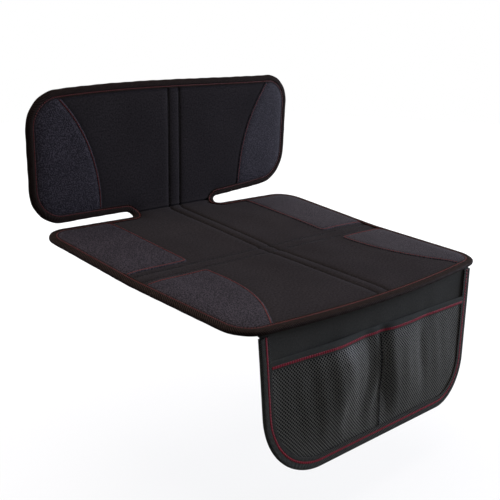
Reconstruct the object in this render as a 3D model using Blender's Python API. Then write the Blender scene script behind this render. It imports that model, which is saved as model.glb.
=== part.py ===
"""Car seat protector mat: a padded mat with a seat and a backrest, six grained panels, a bound edge
and a front flap with two mesh pockets.

The mat is drawn flat, as it is cut and sewn: x across, s along it from the front edge to the top of
the backrest, h up from its underside. lay() then folds that pattern to the form it has on a car
seat. The flap is drawn the same way, with u up it and k out of its rear face, and hang() folds it.
Metres, +Z up, +Y towards the backrest. The origin is on the flat underside of the seat's rear half.
"""

import math

import bmesh
import bpy
from mathutils import Vector

# The mat, laid flat.
SEAT_WIDTH = 0.470
BACK_WIDTH = 0.474
FRONT_LENGTH = 0.1795
REAR_LENGTH = 0.185
BACK_HEIGHT = 0.171
FRONT_BOW = 0.0175
BACK_TOP_BOW = 0.0045
BACK_LOWER_DROP = 0.0045
BACK_LOWER_RISE = 0.007
WAIST_WIDTH = 0.156
FRONT_CORNER_RADIUS = 0.038
REAR_CORNER_RADIUS = 0.036
BACK_LOWER_RADIUS = 0.050
BACK_UPPER_RADIUS = 0.047
CORNER_STAND = 1.05
NOTCH_ROUNDING = 0.99

# How the mat is folded on the seat, with the radii of its upper side.
REAR_SLOPE = math.radians(9.8)
FOLD_TURN = math.radians(2.8)
FOLD_RADIUS = 0.020
CREASE_RADIUS = 0.0096

# How the soft backrest stands: its right end is lifted and its upper right corner is drawn out.
BACK_LIFT = 0.0105
BACK_SPREAD = 0.012

# Layers and clearances.
PAD = 0.0075
TAPE = 0.0010
PANEL = 0.0008
CLEARANCE = 0.0003
BINDING_WIDTH = 0.012
BINDING_HEIGHT = 0.0077
BINDING_EDGE = 0.0012
SHOULDER_WIDTH = 0.008
SHOULDER_DROP = 0.0006

# Sewn channels: two rows down the middle and two across the fold.
CHANNEL_WIDTH = 0.020
FOLD_CHANNEL_WIDTH = 0.0175
GROOVE_WIDTH = 0.0040
GROOVE_DEPTH = 0.0015

# Grained panels.
BACK_PANEL_INNER = 0.129
BACK_PANEL_RADIUS = 0.222
BACK_PANEL_LEAN = math.radians(44.0)
SEAT_PANEL_INNER = 0.1305
FRONT_PANEL_STRAIGHT = 0.031
FRONT_PANEL_RADIUS = 0.170
FRONT_PANEL_LEAN = math.radians(36.0)
PANEL_FOLD_SETBACK = 0.0165
PANEL_TIP_RADIUS = 0.006

# Thread rows.
THREAD_WIDTH = 0.0010
THREAD_HEIGHT = 0.0005
MAT_ROW_INSET = 0.0095
PANEL_ROW_INSET = 0.0025
FLAP_ROW_INSET = 0.009
HEM_ROW_INSET = 0.0075

# Front flap and its pockets.
FLAP_SETBACK = 0.002
FLAP_TOP_WIDTH = 0.4175
FLAP_BOTTOM_WIDTH = 0.391
FLAP_DROP = 0.180
FLAP_LEFT_RADIUS = 0.092
FLAP_RIGHT_RADIUS = 0.067
FLAP_CLOTH = 0.0010
FLAP_LAP = 0.012
FLAP_BEND_RADIUS = 0.0015
FLAP_TAPE = 0.0008
FLAP_BINDING_WIDTH = 0.015
MESH = 0.0006
MESH_INSET = 0.004
POCKET_TOP = 0.0335
POCKET_BULGE = 0.0105
POCKET_MOUTH = 0.80
POCKET_ROUNDING = 0.6
DIVIDER_WIDTH = 0.008
HEM_WIDTH = 0.011
HEM = 0.0007

# How the flap hangs: its right end is lower, and its middle sways to the right on the way down.
FLAP_DIP = 0.005
FLAP_SWAY = 0.037

# Fineness of the mesh.
ARC_STEP = math.radians(13.0)
CURVE_STEP = 0.015
COLUMNS = 5
CREASE_STEPS = 8
BEND_STEPS = 4
MESH_COLUMNS = 9
MESH_ROWS = 8

SLACK = 1e-6

SEAT_HALF = SEAT_WIDTH / 2
BACK_HALF = BACK_WIDTH / 2
FRONT_SLOPE = REAR_SLOPE - FOLD_TURN
WAIST_TURN = math.pi / 2 - REAR_SLOPE


def advance(place, curvature, distance):
    """The place (y, z, angle) reached along a straight or evenly bent run."""
    y, z, angle = place
    if curvature == 0.0:
        return y + distance * math.cos(angle), z + distance * math.sin(angle), angle
    radius = 1.0 / curvature
    end = angle + distance * curvature
    return y + radius * (math.sin(end) - math.sin(angle)), z - radius * (math.cos(end) - math.cos(angle)), end


def fold_stations():
    """Where each run of the underside starts: s, place and curvature, from front to back."""
    fold = FOLD_RADIUS + PAD
    crease = CREASE_RADIUS + PAD
    runs = (
        (FRONT_LENGTH, 0.0),
        (fold * FOLD_TURN, 1.0 / fold),
        (REAR_LENGTH, 0.0),
        (crease * WAIST_TURN, 1.0 / crease),
        (BACK_HEIGHT, 0.0),
    )
    s = 0.0
    place = (0.0, 0.0, FRONT_SLOPE)
    table = []
    for length, curvature in runs:
        table.append([s, place, curvature])
        place = advance(place, curvature, length)
        s += length
    rear_s, rear_place, _ = table[2]
    y0, z0, _ = advance(rear_place, 0.0, REAR_LENGTH / 2)
    for station in table:
        y, z, angle = station[1]
        station[0] -= rear_s + REAR_LENGTH / 2
        station[1] = (y - y0, z - z0, angle)
    return table


STATIONS = fold_stations()
FRONT_S, FOLD_START, FOLD_END, REAR_S, BACK_S = (station[0] for station in STATIONS)
FOLD_S = (FOLD_START + FOLD_END) / 2
LOWER_S = BACK_S - BACK_LOWER_DROP
TOP_S = BACK_S + BACK_HEIGHT


def along(s):
    """Place (y, z, angle) of the underside, s along it from the origin."""
    current = STATIONS[0]
    for station in STATIONS:
        if station[0] <= s:
            current = station
    return advance(current[1], current[2], s - current[0])


def lay(x, s, h):
    """The folded mat's point for a point of its flat pattern."""
    y, z, angle = along(s)
    y -= h * math.sin(angle)
    z += h * math.cos(angle)
    if s > REAR_S:
        out = x / BACK_HALF
        share = min(1.0, (s - REAR_S) / (BACK_S - REAR_S))
        z += BACK_LIFT * share**2 * (3.0 - 2.0 * share) * (out + out**3) / 2
        x += BACK_SPREAD * max(0.0, s - BACK_S) / BACK_HEIGHT * ((1.0 + out) / 2) ** 2
    return Vector((x, y, z))


def rounded(corners):
    """Points of a path whose corners (x, s, radius) are rounded; a radius of 0 keeps the corner."""
    points = []
    for i, (x, s, radius) in enumerate(corners):
        corner = Vector((x, s))
        if radius == 0.0:
            points.append(corner)
            continue
        back = (Vector(corners[i - 1][:2]) - corner).normalized()
        on = (Vector(corners[(i + 1) % len(corners)][:2]) - corner).normalized()
        half = back.angle(on) / 2
        centre = corner + (back + on).normalized() * radius / math.sin(half)
        start = corner + back * radius / math.tan(half) - centre
        turn = math.pi - 2 * half
        sign = 1.0 if back.x * on.y - back.y * on.x < 0.0 else -1.0
        steps = max(math.ceil(turn / ARC_STEP), math.ceil(turn * radius / CURVE_STEP))
        for k in range(steps + 1):
            angle = sign * turn * k / steps
            cos, sin = math.cos(angle), math.sin(angle)
            points.append(centre + Vector((start.x * cos - start.y * sin, start.x * sin + start.y * cos)))
    return points


def spaced(start, end):
    """Evenly spaced numbers from start to end."""
    return [start + (end - start) * i / COLUMNS for i in range(COLUMNS + 1)]


def bowed(edge, bow, half, radius):
    """Points (x, s, 0) of an edge bowed by bow, from its middle to just before its rounded corner."""
    return [(x, edge + bow * (1.0 - (x / half) ** 2), 0.0) for x in spaced(0.0, half - CORNER_STAND * radius)]


def mat_outline():
    """The mat's outer edge laid flat, counter-clockwise from the middle of the front edge."""
    waist = WAIST_WIDTH / 2
    notch = NOTCH_ROUNDING * (LOWER_S - REAR_S) / 2
    incline = BACK_LOWER_RISE / (BACK_HALF - waist)
    lower = spaced(waist + CORNER_STAND * notch, BACK_HALF - CORNER_STAND * BACK_LOWER_RADIUS)
    right = bowed(FRONT_S, -FRONT_BOW, SEAT_HALF, FRONT_CORNER_RADIUS)
    right += [
        (SEAT_HALF, FRONT_S, FRONT_CORNER_RADIUS),
        (SEAT_HALF, FOLD_START, 0.0),
        (SEAT_HALF, FOLD_END, 0.0),
        (SEAT_HALF, REAR_S, REAR_CORNER_RADIUS),
        (waist, REAR_S, notch),
        (waist, LOWER_S, notch),
    ]
    right += [(x, LOWER_S + incline * (x - waist), 0.0) for x in lower]
    right += [
        (BACK_HALF, LOWER_S + BACK_LOWER_RISE, BACK_LOWER_RADIUS),
        (BACK_HALF, TOP_S, BACK_UPPER_RADIUS),
    ]
    right += reversed(bowed(TOP_S, BACK_TOP_BOW, BACK_HALF, BACK_UPPER_RADIUS))
    left = [(-x, s, radius) for x, s, radius in reversed(right) if x > 0.0]
    return rounded(right + left)


def normals(path, closed):
    """For each point of a path, the way to its left, lengthened so that offsets keep their width."""
    result = []
    for i, point in enumerate(path):
        first = not closed and i == 0
        last = not closed and i == len(path) - 1
        before = (point - path[i - 1]).normalized() if not first else None
        after = (path[(i + 1) % len(path)] - point).normalized() if not last else None
        before = before or after
        after = after or before
        tangent = (before + after).normalized()
        result.append(Vector((-tangent.y, tangent.x)) / tangent.dot(before))
    return result


def moved_left(path, distance, closed=False):
    """A path moved to its left; for a counter-clockwise loop that is inwards."""
    return [point + normal * distance for point, normal in zip(path, normals(path, closed))]


def crossing(a, b, c, d):
    """The share of a-b at which it crosses c-d, or None."""
    u, v, w = b - a, d - c, c - a
    spread = u.x * v.y - u.y * v.x
    if spread == 0.0:
        return None
    share = (w.x * v.y - w.y * v.x) / spread
    other = (w.x * u.y - w.y * u.x) / spread
    return share if 0.0 <= share < 1.0 and 0.0 <= other < 1.0 else None


def trimmed(path, ring):
    """The stretch of a path between its first and last crossing of a ring, and the ring's edges there."""
    cuts = []
    for i in range(len(path) - 1):
        for j, corner in enumerate(ring):
            share = crossing(path[i], path[i + 1], corner, ring[(j + 1) % len(ring)])
            if share is not None:
                cuts.append((i + share, path[i].lerp(path[i + 1], share), j))
    cuts.sort(key=lambda cut: cut[0])
    (start, enter, enter_edge), (end, leave, leave_edge) = cuts[0], cuts[-1]
    inner = [point for i, point in enumerate(path) if start < i < end]
    return [enter] + inner + [leave], enter_edge, leave_edge


def panel_outline(border, ring):
    """The panel that lies to the left of its border, out to the ring."""
    stretch, enter_edge, leave_edge = trimmed(border, ring)
    j = (leave_edge + 1) % len(ring)
    stop = (enter_edge + 1) % len(ring)
    while j != stop:
        stretch.append(ring[j])
        j = (j + 1) % len(ring)
    return stretch


def mirrored(path):
    """The same path on the mat's other half, still with its panel on the left."""
    return [Vector((-point.x, point.y)) for point in reversed(path)]


def back_panel_border():
    """The backrest panel's inner edge: it leans out at the top and falls straight to the lower edge."""
    rise = BACK_PANEL_RADIUS * math.tan(BACK_PANEL_LEAN / 2)
    corner = BACK_S + BINDING_WIDTH + rise
    far = BACK_HEIGHT
    return rounded([
        (BACK_PANEL_INNER + far * math.tan(BACK_PANEL_LEAN), corner + far, 0.0),
        (BACK_PANEL_INNER, corner, BACK_PANEL_RADIUS),
        (BACK_PANEL_INNER, BACK_S - BINDING_WIDTH, 0.0),
    ])


def rear_panel_border():
    """The rear seat panel's inner edge: straight down the seat, then out along the fold."""
    edge = FOLD_S + PANEL_FOLD_SETBACK
    return rounded([
        (SEAT_PANEL_INNER, REAR_S + BINDING_WIDTH, 0.0),
        (SEAT_PANEL_INNER, edge, PANEL_TIP_RADIUS),
        (SEAT_WIDTH, edge, 0.0),
    ])


def front_panel_border():
    """The front seat panel's inner edge: in along the fold, down the seat, then out to the front edge."""
    edge = FOLD_S - PANEL_FOLD_SETBACK
    corner = edge - FRONT_PANEL_STRAIGHT - FRONT_PANEL_RADIUS * math.tan(FRONT_PANEL_LEAN / 2)
    far = FRONT_LENGTH
    return rounded([
        (SEAT_WIDTH, edge, 0.0),
        (SEAT_PANEL_INNER, edge, PANEL_TIP_RADIUS),
        (SEAT_PANEL_INNER, corner, FRONT_PANEL_RADIUS),
        (SEAT_PANEL_INNER + far * math.tan(FRONT_PANEL_LEAN), corner - far, 0.0),
    ])


def flap_half(u):
    """Half the flap's width, u up from its bend."""
    share = min(1.0, max(0.0, -u / FLAP_DROP))
    return (FLAP_TOP_WIDTH + (FLAP_BOTTOM_WIDTH - FLAP_TOP_WIDTH) * share) / 2


def flap_outline(top):
    """The flap's outer edge from its upper left corner, at height top, round to its upper right."""
    bottom = FLAP_BOTTOM_WIDTH / 2
    corners = [(-flap_half(top), top, 0.0)]
    if top > 0.0:
        corners.append((-flap_half(0.0), 0.0, 0.0))
    corners += [(-bottom, -FLAP_DROP, FLAP_LEFT_RADIUS), (bottom, -FLAP_DROP, FLAP_RIGHT_RADIUS)]
    if top > 0.0:
        corners.append((flap_half(0.0), 0.0, 0.0))
    corners.append((flap_half(top), top, 0.0))
    return rounded(corners)


FLAP_Y = STATIONS[0][1][0] + FLAP_SETBACK
BEND_Y = FLAP_Y + FLAP_BEND_RADIUS
FLAP_Z = (
    STATIONS[0][1][1] + (BEND_Y - STATIONS[0][1][0]) * math.tan(FRONT_SLOPE)
    - (FLAP_BEND_RADIUS + FLAP_CLOTH + CLEARANCE) / math.cos(FRONT_SLOPE)
)


def hang(x, u, k):
    """The hung flap's point: u above 0 lies under the mat's front edge, where the flap is sewn on."""
    if u <= 0.0:
        out = x / (FLAP_TOP_WIDTH / 2)
        dip = FLAP_DIP * out * min(1.0, -u / POCKET_TOP)
        return Vector((x - FLAP_SWAY * u * (1.0 - out**2), FLAP_Y - k, FLAP_Z + u - dip))
    radius = FLAP_BEND_RADIUS + k
    angle = min(math.pi / 2 - FRONT_SLOPE, u / FLAP_BEND_RADIUS)
    run = u - angle * FLAP_BEND_RADIUS
    y = BEND_Y - radius * math.cos(angle) + run * math.cos(FRONT_SLOPE)
    z = FLAP_Z + radius * math.sin(angle) + run * math.sin(FRONT_SLOPE)
    return Vector((x, y, z))


def flap_reach(side, u, inset):
    """How far out, at height u, the flap's outline moved inwards lies on the side of the given sign."""
    corner = FLAP_RIGHT_RADIUS if side > 0.0 else FLAP_LEFT_RADIUS
    lean = math.atan2((FLAP_TOP_WIDTH - FLAP_BOTTOM_WIDTH) / 2, FLAP_DROP)
    radius = corner - inset
    centre_x = FLAP_BOTTOM_WIDTH / 2 - corner * math.tan((math.pi / 2 - lean) / 2)
    centre_u = corner - FLAP_DROP
    if u < centre_u - radius * math.sin(lean):
        return centre_x + math.sqrt(max(0.0, radius**2 - (centre_u - u) ** 2))
    return flap_half(u) - inset / math.cos(lean)


def bulge(x, u):
    """How far a pocket's mesh stands out from the flap, 0 under the binding and at the divider."""
    bottom = -FLAP_DROP + FLAP_BINDING_WIDTH
    seam = DIVIDER_WIDTH / 2
    across = (abs(x) - seam) / (flap_reach(x, max(u, bottom), FLAP_BINDING_WIDTH) - seam)
    down = (-POCKET_TOP - u) / (-POCKET_TOP - bottom)
    if not (0.0 < across < 1.0 and down < 1.0):
        return 0.0
    down = max(0.0, down)
    fall = POCKET_MOUTH + (1.0 - POCKET_MOUTH) * math.sin(math.pi * down)
    return POCKET_BULGE * fall * math.sqrt(1.0 - down**3) * math.sin(math.pi * across) ** POCKET_ROUNDING


def puff(x, u, k):
    """The point of a layer that follows the pocket's mesh."""
    return hang(x, u, k + bulge(x, u))


def sweep(path, section, closed):
    """A mesh swept along a flat path; the section's points are (distance to the left, height)."""
    mesh = bmesh.new()
    rings = []
    for point, normal in zip(path, normals(path, closed)):
        places = [point + normal * distance for distance, _ in section]
        rings.append([mesh.verts.new((p.x, p.y, height)) for p, (_, height) in zip(places, section)])
    pairs = zip(rings, rings[1:] + rings[:1]) if closed else zip(rings, rings[1:])
    for one, two in pairs:
        for i in range(len(section)):
            j = (i + 1) % len(section)
            mesh.faces.new((one[i], one[j], two[j], two[i]))
    if not closed:
        mesh.faces.new(rings[0])
        mesh.faces.new(rings[-1])
    return mesh


def layers(loop, levels):
    """A solid whose wall runs through the loop's insets (distance, height), capped at both ends."""
    mesh = bmesh.new()
    rings = []
    for distance, height in levels:
        ring = moved_left(loop, distance, closed=True)
        rings.append([mesh.verts.new((p.x, p.y, height)) for p in ring])
    for one, two in zip(rings, rings[1:]):
        for i in range(len(loop)):
            j = (i + 1) % len(loop)
            mesh.faces.new((one[i], one[j], two[j], two[i]))
    mesh.faces.new(rings[0])
    mesh.faces.new(rings[-1])
    return mesh


def grid(rows, low, high):
    """A thin solid over a grid of flat points, given as rows of (x, u) of equal length."""
    mesh = bmesh.new()
    under, over = ([[mesh.verts.new((x, u, k)) for x, u in row] for row in rows] for k in (low, high))
    for level in (under, over):
        for one, two in zip(level, level[1:]):
            for i in range(len(one) - 1):
                mesh.faces.new((one[i], one[i + 1], two[i + 1], two[i]))
    edges = []
    for level in (under, over):
        sides = [row[-1] for row in level[1:-1]], [row[0] for row in level[-2:0:-1]]
        edges.append(level[0] + sides[0] + level[-1][::-1] + sides[1])
    for i in range(len(edges[0])):
        j = (i + 1) % len(edges[0])
        mesh.faces.new((edges[0][i], edges[0][j], edges[1][j], edges[1][i]))
    return mesh


def cut(mesh, axis, values):
    """Adds edges across the whole mesh at the given places along an axis."""
    for value in values:
        place = Vector((0.0, 0.0, 0.0))
        place[axis] = value
        normal = Vector((0.0, 0.0, 0.0))
        normal[axis] = 1.0
        parts = [*mesh.verts, *mesh.edges, *mesh.faces]
        bmesh.ops.bisect_plane(mesh, geom=parts, dist=SLACK / 10, plane_co=place, plane_no=normal)


def finish(name, mesh, place, material):
    """Folds a flat mesh to its place and makes it an object."""
    for vert in mesh.verts:
        vert.co = place(*vert.co)
    bmesh.ops.remove_doubles(mesh, verts=mesh.verts, dist=SLACK / 10)
    bmesh.ops.triangulate(mesh, faces=mesh.faces)
    bmesh.ops.recalc_face_normals(mesh, faces=mesh.faces)
    data = bpy.data.meshes.new(name)
    mesh.to_mesh(data)
    mesh.free()
    data.shade_smooth()
    data.set_sharp_from_angle(angle=math.radians(30.0))
    data.materials.append(material)
    thing = bpy.data.objects.new(name, data)
    bpy.context.scene.collection.objects.link(thing)
    return thing


def cloth(name, colour, roughness):
    """A matt material in a plain colour."""
    material = bpy.data.materials.new(name)
    material.use_nodes = True
    shader = material.node_tree.nodes["Principled BSDF"]
    shader.inputs["Base Color"].default_value = (*colour, 1.0)
    shader.inputs["Roughness"].default_value = roughness
    shader.inputs["Metallic"].default_value = 0.0
    material.diffuse_color = (*colour, 1.0)
    return material


def mat_body(outline, material):
    """The padded mat: one piece from the front edge to the backrest's top, with its sewn channels."""
    edge = TAPE + CLEARANCE
    step = BINDING_WIDTH + CLEARANCE
    low = TAPE + CLEARANCE
    high = BINDING_HEIGHT - TAPE - CLEARANCE
    mesh = layers(outline, [
        (step, 0.0), (step, low), (MAT_ROW_INSET, low), (BINDING_WIDTH / 3, low), (edge, low),
        (edge, high), (BINDING_WIDTH / 3, high), (MAT_ROW_INSET, high), (step, high),
        (step, PAD - SHOULDER_DROP), (step + SHOULDER_WIDTH, PAD),
    ])
    side = GROOVE_WIDTH / 2
    columns = [sign * CHANNEL_WIDTH / 2 for sign in (-1, 1)]
    rows = [FOLD_S + sign * FOLD_CHANNEL_WIDTH / 2 for sign in (-1, 1)]
    cut(mesh, 0, [x + offset for x in columns for offset in (-side, 0.0, side)])
    cut(mesh, 1, [s + offset for s in rows for offset in (-side, 0.0, side)])
    cut(mesh, 1, [FOLD_START, FOLD_END])
    cut(mesh, 1, [REAR_S + (BACK_S - REAR_S) * i / CREASE_STEPS for i in range(CREASE_STEPS + 1)])
    floor = high + CLEARANCE
    for vert in mesh.verts:
        in_channel = min(abs(vert.co.x - x) for x in columns) < SLACK
        in_fold = min(abs(vert.co.y - s) for s in rows) < SLACK
        if vert.co.z > floor and (in_channel or in_fold):
            vert.co.z = max(floor, vert.co.z - GROOVE_DEPTH)
    return finish("mat_body", mesh, lay, material)


def mat_binding(outline, material):
    """The tape folded round the mat's whole edge, the notches at the waist included."""
    mid = BINDING_WIDTH / 3
    top = BINDING_HEIGHT
    bevel = BINDING_EDGE
    section = [
        (BINDING_WIDTH, 0.0), (MAT_ROW_INSET, 0.0), (mid, 0.0), (bevel, 0.0), (0.0, bevel),
        (0.0, top - bevel), (bevel, top), (mid, top), (MAT_ROW_INSET, top), (BINDING_WIDTH, top),
        (BINDING_WIDTH, top - TAPE), (MAT_ROW_INSET, top - TAPE), (mid, top - TAPE), (TAPE, top - TAPE),
        (TAPE, TAPE), (mid, TAPE), (MAT_ROW_INSET, TAPE), (BINDING_WIDTH, TAPE),
    ]
    return finish("mat_binding", sweep(outline, section, closed=True), lay, material)


def thread_section(low):
    """The section of a thread row that lies just above the height low."""
    half = THREAD_WIDTH / 2
    bottom = low + CLEARANCE
    top = bottom + THREAD_HEIGHT
    return [(-half, bottom), (half, bottom), (half, top), (-half, top)]


def panel(name, border, ring, leather):
    """A grained panel, sewn on top of the pad out to the binding."""
    low = PAD + CLEARANCE
    mesh = layers(panel_outline(border, ring), [(0.0, low), (0.0, low + PANEL)])
    return finish(name, mesh, lay, leather)


def panel_row(name, border, ring, thread):
    """The thread row just inside a panel's free edge."""
    path, _, _ = trimmed(moved_left(border, PANEL_ROW_INSET), moved_left(ring, THREAD_WIDTH, closed=True))
    return finish(name, sweep(path, thread_section(PAD + CLEARANCE + PANEL), closed=False), lay, thread)


def front_flap(material):
    """The flap's cloth, with its upper margin turned under the mat's front edge."""
    edge = FLAP_TAPE + CLEARANCE
    loop = moved_left(flap_outline(FLAP_LAP), edge, closed=True)
    mesh = layers(loop, [(0.0, 0.0), (0.0, FLAP_CLOTH)])
    bend = FLAP_BEND_RADIUS * (math.pi / 2 - FRONT_SLOPE)
    cut(mesh, 1, [bend * i / BEND_STEPS for i in range(BEND_STEPS + 1)])
    return finish("front_flap", mesh, hang, material)


def pocket_side(side, u, edge):
    """Places x on one side of the divider, at height u, out to the given inset of the flap's edge."""
    seam = DIVIDER_WIDTH / 2
    inner = flap_reach(side, max(u, FLAP_BINDING_WIDTH - FLAP_DROP), FLAP_BINDING_WIDTH)
    places = [seam + (inner - seam) * i / MESH_COLUMNS for i in range(MESH_COLUMNS + 1)]
    if edge < FLAP_BINDING_WIDTH:
        places.append(max(inner, flap_reach(side, u, edge)))
    return [math.copysign(place, side) for place in places]


def pocket_row(u, edge):
    """One row of the pockets' grid, (x, u) from left to right."""
    places = pocket_side(-1, u, edge)[::-1] + pocket_side(1, u, edge)
    return [(x, u) for x in places]


def mesh_pockets(material):
    """The mesh sheet that makes both pockets: bound at the sides and below, open at the top."""
    low = FLAP_CLOTH + CLEARANCE
    hem = -POCKET_TOP - HEM_WIDTH
    bottom = FLAP_BINDING_WIDTH - FLAP_DROP
    heights = [-POCKET_TOP] + [hem + (bottom - hem) * i / MESH_ROWS for i in range(MESH_ROWS + 1)]
    foot = MESH_INSET - FLAP_DROP
    rows = [pocket_row(u, MESH_INSET) for u in heights + [(bottom + foot) / 2, foot]]
    return finish("mesh_pockets", grid(rows, low, low + MESH), puff, material)


def pocket_hem(material):
    """The doubled strip along the pockets' mouths."""
    low = FLAP_CLOTH + CLEARANCE + MESH + CLEARANCE
    rows = [pocket_row(u, FLAP_BINDING_WIDTH) for u in (-POCKET_TOP, -POCKET_TOP - HEM_WIDTH)]
    for row in rows:
        row[0] = (row[0][0] + CLEARANCE, row[0][1])
        row[-1] = (row[-1][0] - CLEARANCE, row[-1][1])
    return finish("pocket_hem", grid(rows, low, low + HEM), puff, material)


def flap_depths():
    """The rear and front faces of the flap's binding."""
    rear = -CLEARANCE - FLAP_TAPE
    front = FLAP_CLOTH + CLEARANCE + MESH + CLEARANCE + FLAP_TAPE
    return rear, front


def flap_binding(material):
    """The tape folded round the flap's sides and lower edge."""
    rear, front = flap_depths()
    width, tape = FLAP_BINDING_WIDTH, FLAP_TAPE
    section = [
        (width, rear), (0.0, rear), (0.0, front), (width, front),
        (width, front - tape), (tape, front - tape), (tape, rear + tape), (width, rear + tape),
    ]
    path = flap_outline(-FLAP_BEND_RADIUS)
    return finish("flap_binding", sweep(path, section, closed=False), hang, material)


def flap_rows(thread, dark_thread):
    """The thread rows of the flap: along its binding, along the pockets' hem and down the divider."""
    _, front = flap_depths()
    edge_path = moved_left(flap_outline(-FLAP_BEND_RADIUS), FLAP_ROW_INSET)
    finish("flap_edge_stitching", sweep(edge_path, thread_section(front), closed=False), hang, thread)
    hem_top = FLAP_CLOTH + CLEARANCE + MESH + CLEARANCE + HEM
    row = -POCKET_TOP - HEM_ROW_INSET
    places = [x for x, _ in pocket_row(row, FLAP_BINDING_WIDTH)]
    middles = [(a + b) / 2 for a, b in zip(places, places[1:])]
    inner = sorted(places[1:-1] + middles)
    hem_path = [Vector((x, row)) for x in [places[0] + THREAD_WIDTH] + inner + [places[-1] - THREAD_WIDTH]]
    finish("pocket_hem_stitching", sweep(hem_path, thread_section(hem_top), closed=False), puff, thread)
    mesh_front = FLAP_CLOTH + CLEARANCE + MESH
    top = -POCKET_TOP - HEM_WIDTH - CLEARANCE
    bottom = -FLAP_DROP + FLAP_BINDING_WIDTH + THREAD_WIDTH
    divider = sweep([Vector((0.0, top)), Vector((0.0, bottom))], thread_section(mesh_front), closed=False)
    finish("pocket_divider_stitching", divider, puff, dark_thread)


def build():
    """Makes every piece of the mat."""
    for thing in list(bpy.data.objects):
        bpy.data.objects.remove(thing, do_unlink=True)
    fabric = cloth("black_fabric", (0.021, 0.019, 0.020), 0.85)
    leather = cloth("grained_leatherette", (0.040, 0.036, 0.040), 0.55)
    tape = cloth("binding_tape", (0.012, 0.009, 0.009), 0.80)
    thread = cloth("red_thread", (0.130, 0.018, 0.024), 0.60)
    dark_thread = cloth("black_thread", (0.010, 0.010, 0.010), 0.60)
    flap_fabric = cloth("flap_fabric", (0.026, 0.028, 0.028), 0.80)
    net = cloth("pocket_net", (0.045, 0.048, 0.048), 0.70)

    outline = mat_outline()
    ring = moved_left(outline, BINDING_WIDTH + CLEARANCE, closed=True)
    mat_body(outline, fabric)
    mat_binding(outline, tape)
    row = moved_left(outline, MAT_ROW_INSET, closed=True)
    finish("mat_edge_stitching", sweep(row, thread_section(BINDING_HEIGHT), closed=True), lay, thread)
    borders = {"backrest": back_panel_border(), "rear": rear_panel_border(), "front": front_panel_border()}
    for area, border in borders.items():
        for side, edge in (("right", border), ("left", mirrored(border))):
            panel(f"{area}_panel_{side}", edge, ring, leather)
            panel_row(f"{area}_panel_stitching_{side}", edge, ring, thread)
    front_flap(flap_fabric)
    mesh_pockets(net)
    pocket_hem(net)
    flap_binding(tape)
    flap_rows(thread, dark_thread)


build()
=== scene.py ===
"""Looks of the car seat protector mat: the padded mat, its grained panels, ribbed binding and sewn rows,
and the front flap with its two net pockets. The forms repeat the flat patterns of the CAD solids, in metres.
"""

import logging
import math
from collections.abc import Callable, Sequence
from dataclasses import dataclass
from enum import Enum

import bpy
import numpy as np
from bpy.types import Material, Node, NodeSocket, NodeTree, Object
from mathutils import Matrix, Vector
from mathutils.geometry import delaunay_2d_cdt


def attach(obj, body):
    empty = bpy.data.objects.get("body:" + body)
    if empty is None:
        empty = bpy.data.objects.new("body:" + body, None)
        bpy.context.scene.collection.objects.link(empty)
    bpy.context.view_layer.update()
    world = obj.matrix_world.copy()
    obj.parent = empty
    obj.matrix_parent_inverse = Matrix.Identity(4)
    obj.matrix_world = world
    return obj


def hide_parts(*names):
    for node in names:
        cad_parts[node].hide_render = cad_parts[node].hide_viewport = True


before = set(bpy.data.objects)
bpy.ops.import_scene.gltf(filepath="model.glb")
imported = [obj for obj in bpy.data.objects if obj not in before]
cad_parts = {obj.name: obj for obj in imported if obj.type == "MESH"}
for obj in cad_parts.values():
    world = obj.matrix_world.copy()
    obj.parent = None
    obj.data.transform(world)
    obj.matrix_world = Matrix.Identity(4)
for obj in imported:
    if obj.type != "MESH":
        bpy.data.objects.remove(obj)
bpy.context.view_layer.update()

log = logging.getLogger("seat_protector")

MM = 0.001
MATH = "ShaderNodeMath"
NOISE = "ShaderNodeTexNoise"
Array = np.ndarray
Place = Callable[[Array, Array], Array]
Height = Callable[[Array], Array]


class Side(Enum):
    """The two halves of the mat, with the sign of x on each."""

    LEFT = -1.0
    RIGHT = 1.0


class Area(Enum):
    """The three areas of the mat that have a pair of grained panels."""

    BACKREST = "backrest"
    REAR = "rear"
    FRONT = "front"


def linear(colour: str) -> tuple[float, float, float, float]:
    """Turns an sRGB hex colour to linear.

    Args:
        colour: The colour as #rrggbb.

    Returns:
        Linear red, green and blue, and an alpha of 1.
    """
    parts = [int(colour[i:i + 2], 16) / 255 for i in (1, 3, 5)]
    red, green, blue = (c / 12.92 if c <= 0.04045 else ((c + 0.055) / 1.055) ** 2.4 for c in parts)
    return red, green, blue, 1.0


def add(tree: NodeTree, kind: str, settings: dict | None = None, links: dict | None = None) -> Node:
    """Adds a node with its settings and its links.

    Args:
        tree: The node tree.
        kind: The node's type.
        settings: Values by the name of an attribute, or by the name or number of an input.
        links: Sockets, or nodes for their first output, by the name or number of an input.

    Returns:
        The new node.
    """
    node = tree.nodes.new(kind)
    for key, value in (settings or {}).items():
        if isinstance(key, str) and hasattr(node, key):
            setattr(node, key, value)
        else:
            node.inputs[key].default_value = value
    for key, source in (links or {}).items():
        tree.links.new(source.outputs[0] if isinstance(source, Node) else source, node.inputs[key])
    return node


def new_material(name: str) -> tuple[Material, NodeTree, Node]:
    """Makes a material that has only a Principled shader and its output.

    Args:
        name: The material's name.

    Returns:
        The material, its node tree and its shader.
    """
    material = bpy.data.materials.new(name)
    material.use_nodes = True
    return material, material.node_tree, material.node_tree.nodes["Principled BSDF"]


# Finishes


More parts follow.
